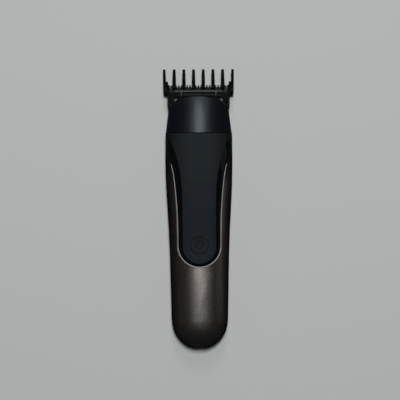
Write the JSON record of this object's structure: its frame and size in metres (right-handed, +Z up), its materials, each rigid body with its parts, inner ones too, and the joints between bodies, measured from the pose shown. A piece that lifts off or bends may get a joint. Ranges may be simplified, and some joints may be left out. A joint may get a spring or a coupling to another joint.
{
  "type": "beard trimmer",
  "caption": "Cordless beard trimmer lying on its back: lozenge handle with soft grip pad and power button, detachable cutting head with reciprocating blade, clip-on guide comb.",
  "frame": {"origin": "on the flat land of the back that the trimmer lies on, under its middle line", "axes": "+Y along the trimmer from the tail to the cutting head, +Z up out of the face with the power button, +X across"},
  "size_m": [0.0428, 0.1678, 0.0292],
  "materials": {
    "graphite_paint": "warm graphite metallic lacquer, satin",
    "collar_black": "gloss black",
    "trim_silver": "satin chrome",
    "pad_rubber": "matt soft-touch",
    "button_black": "satin black",
    "head_satin": "satin blue-grey",
    "inner_plastic": "moulded black",
    "white_plastic": "natural acetal",
    "blade_steel": "dark coated, ground edges",
    "cutter_steel": "ground",
    "spring_steel": "drawn wire",
    "screw_steel": "zinc plated",
    "motor_steel": "plated",
    "shaft_steel": "hardened and ground",
    "nickel": "nickel plated",
    "cell_wrap": "heat-shrink sleeve",
    "board_green": "glass-fibre board, solder mask",
    "chip_black": "moulded epoxy",
    "led_clear": "clear epoxy",
    "wire_red": "insulated wire",
    "comb_black": "moulded black, satin",
    "seal_rubber": "matt"
  },
  "bodies": {
    "handle": {"rear_housing": "graphite_paint", "front_housing": "collar_black", "trim_strip": "trim_silver", "grip_pad": "pad_rubber", "chassis": "inner_plastic", "battery_cell": "cell_wrap", "battery_tabs": "nickel", "circuit_board": "board_green", "board_parts": "chip_black", "indicator_light": "led_clear", "switch_body": "chip_black", "charging_socket": "inner_plastic", "socket_barrel": "nickel", "socket_pin": "nickel", "socket_grommet": "seal_rubber", "motor_can": "motor_steel", "motor_cap": "white_plastic", "motor_terminals": "nickel", "motor_leads": "wire_red", "motor_screws": "screw_steel", "neck_plate": "inner_plastic", "neck_screws": "screw_steel"},
    "head": {"head_shell": "head_satin", "blade_carrier": "inner_plastic", "fixed_blade": "blade_steel", "cutter_spring": "spring_steel", "blade_screws": "screw_steel"},
    "cutter": {"moving_blade": "cutter_steel", "cutter_guide": "inner_plastic", "drive_yoke": "inner_plastic"},
    "rotor": {"motor_shaft": "shaft_steel", "eccentric_cam": "white_plastic", "drive_pin": "shaft_steel"},
    "button": {"power_button": "button_black"},
    "switch_plunger": {"switch_plunger": "white_plastic"},
    "comb": {"guide_comb": "comb_black"}
  },
  "joints": [
    {"name": "head_release", "type": "slide", "parent": "handle", "child": "head", "axis": [0, 1, 0], "range_m": [0, 0.03]},
    {"name": "comb_slide", "type": "slide", "parent": "head", "child": "comb", "axis": [0, 0.9903, -0.1392], "range_m": [0, 0.03]},
    {"name": "cutter_slide", "type": "slide", "parent": "head", "child": "cutter", "axis": [1, 0, 0], "range_m": [-0.0008, 0.0008]},
    {"name": "motor_spin", "type": "hinge", "parent": "handle", "child": "rotor", "pos_m": [0, 0.04, 0.0126], "axis": [0, 1, 0], "continuous": true},
    {"name": "button_press", "type": "slide", "parent": "handle", "child": "button", "axis": [0, 0, -1], "range_m": [0, 0.0005], "stiffness_N_per_m": 3000},
    {"name": "plunger_press", "type": "slide", "parent": "handle", "child": "switch_plunger", "axis": [0, 0, -1], "range_m": [0, 0.0005]}
  ],
  "couplings": [
    {"joint": "plunger_press", "follows": "button_press", "ratio": 1}
  ]
}
